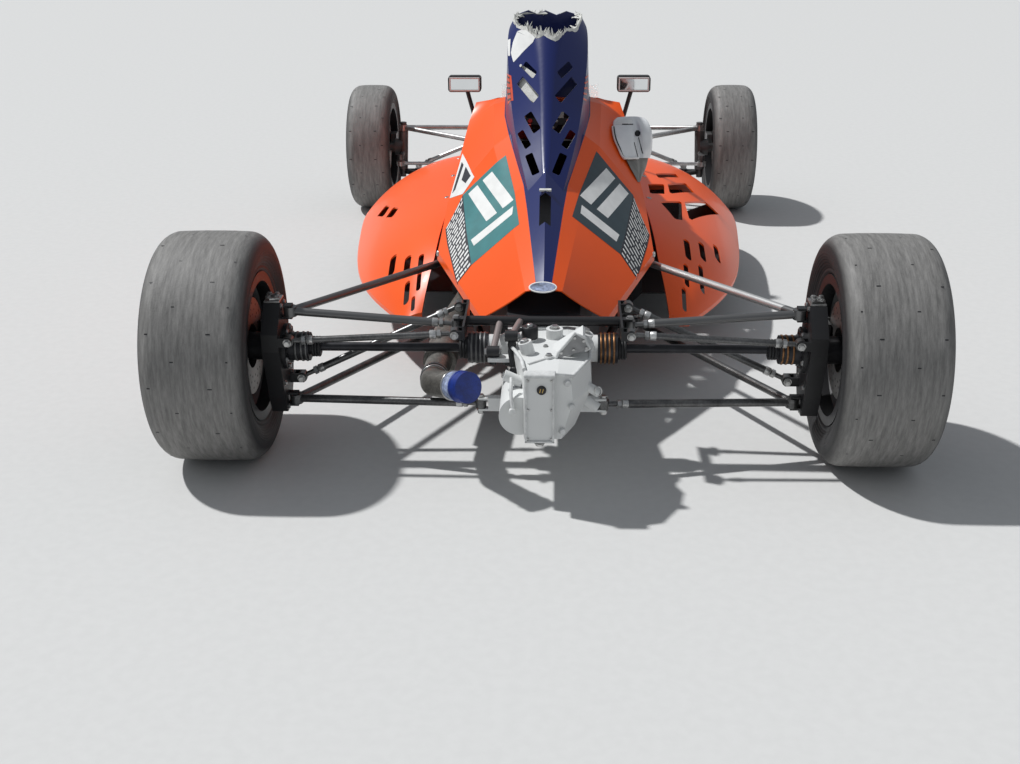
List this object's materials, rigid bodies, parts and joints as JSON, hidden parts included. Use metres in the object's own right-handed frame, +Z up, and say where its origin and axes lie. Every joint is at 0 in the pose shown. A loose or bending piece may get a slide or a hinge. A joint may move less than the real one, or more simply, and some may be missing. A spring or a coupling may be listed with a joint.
{
  "type": "open wheel racing car",
  "caption": "Single-seat open wheel racing car on slick tyres, with domed side pods, a tall rear cowl with a torn top, and exposed rear suspension and gearbox.",
  "frame": {"origin": "on the ground, under the middle of the overall length and width", "axes": "+X to the car's right, +Y to its nose, +Z up"},
  "size_m": [1.826, 3.7, 0.964],
  "materials": {
    "body_orange": "gloss fibre reinforced plastic, orange paint",
    "tub_black": "satin black paint",
    "tyre": "worn slick tread",
    "rim_dark": "dark satin paint",
    "disc_iron": "machined face",
    "shaft_steel": "oiled",
    "link_grey": "worn grey paint",
    "link_silver": "plated",
    "cast_silver": "cast",
    "radiator_alloy": "finned core",
    "engine_iron": "painted",
    "exhaust_steel": "heat stained",
    "seat_black": "moulded shell",
    "pad_black": "soft pad",
    "grip_black": "stitched grip",
    "screen_clear": "clear",
    "mirror_black": "housing",
    "cap_blue": "soft cap"
  },
  "bodies": {
    "chassis": {"chassis_tub": "tub_black", "cockpit_surround": "body_orange", "dash_panel": "tub_black", "engine_block": "engine_iron", "engine_cover": "body_orange", "exhaust_cap": "cap_blue", "exhaust_pipe": "exhaust_steel", "front_lower_wishbones": "link_grey", "front_pushrods": "link_silver", "front_upper_wishbones": "link_silver", "gearbox_case": "cast_silver", "headrest": "pad_black", "intake_scoop": "cast_silver", "mirrors": "mirror_black", "nose_cone": "body_orange", "radiator": "radiator_alloy", "rear_calipers": "cast_silver", "rear_frame": "link_grey", "rear_lower_wishbones": "link_grey", "rear_pushrods": "link_grey", "rear_toe_links": "link_grey", "rear_upper_wishbones": "link_grey", "rear_upright_left": "cast_silver", "rear_upright_right": "cast_silver", "roll_hoop": "tub_black", "seat": "seat_black", "side_pod_left": "body_orange", "side_pod_right": "body_orange", "under_pans": "tub_black", "windscreen": "screen_clear"},
    "wheel_rear_left": {"tyre_rear_left": "tyre", "rim_rear_left": "rim_dark", "brake_disc_rear_left": "disc_iron", "half_shaft_left": "shaft_steel"},
    "wheel_front_left": {"tyre_front_left": "tyre", "rim_front_left": "rim_dark", "brake_disc_front_left": "disc_iron"},
    "steered_upright_left": {"knuckle_left": "cast_silver", "front_caliper_left": "cast_silver"},
    "wheel_rear_right": {"tyre_rear_right": "tyre", "rim_rear_right": "rim_dark", "brake_disc_rear_right": "disc_iron", "half_shaft_right": "shaft_steel"},
    "wheel_front_right": {"tyre_front_right": "tyre", "rim_front_right": "rim_dark", "brake_disc_front_right": "disc_iron"},
    "steered_upright_right": {"knuckle_right": "cast_silver", "front_caliper_right": "cast_silver"},
    "steering": {"steering_wheel": "grip_black", "steering_column": "shaft_steel"},
    "rack": {"steering_rack": "link_silver"}
  },
  "joints": [
    {"name": "rear_right_wheel_spin", "type": "hinge", "parent": "chassis", "child": "wheel_rear_right", "pos_m": [0.7915, -1.55, 0.2795], "axis": [1, 0, 0], "continuous": true},
    {"name": "front_right_wheel_spin", "type": "hinge", "parent": "steered_upright_right", "child": "wheel_front_right", "pos_m": [0.744, 0.9, 0.254], "axis": [1, 0, 0], "continuous": true},
    {"name": "right_upright_steer", "type": "hinge", "parent": "chassis", "child": "steered_upright_right", "pos_m": [0.628, 0.9, 0.15], "axis": [-0.0432, 0, 0.9991], "range_deg": [-18, 18]},
    {"name": "rear_left_wheel_spin", "type": "hinge", "parent": "chassis", "child": "wheel_rear_left", "pos_m": [-0.7915, -1.55, 0.2795], "axis": [1, 0, 0], "continuous": true},
    {"name": "front_left_wheel_spin", "type": "hinge", "parent": "steered_upright_left", "child": "wheel_front_left", "pos_m": [-0.744, 0.9, 0.254], "axis": [1, 0, 0], "continuous": true},
    {"name": "left_upright_steer", "type": "hinge", "parent": "chassis", "child": "steered_upright_left", "pos_m": [-0.628, 0.9, 0.15], "axis": [0.0432, 0, 0.9991], "range_deg": [-18, 18]},
    {"name": "steering_turn", "type": "hinge", "parent": "chassis", "child": "steering", "pos_m": [0, 0.14, 0.505], "axis": [0, 0.959, -0.2834], "range_deg": [-180, 180]},
    {"name": "rack_travel", "type": "slide", "parent": "chassis", "child": "rack", "axis": [1, 0, 0], "range_m": [-0.032, 0.032]}
  ],
  "couplings": [
    {"joint": "right_upright_steer", "follows": "steering_turn", "ratio": -0.1},
    {"joint": "left_upright_steer", "follows": "steering_turn", "ratio": -0.1},
    {"joint": "rack_travel", "follows": "steering_turn", "m_per_rad": -0.00985}
  ]
}
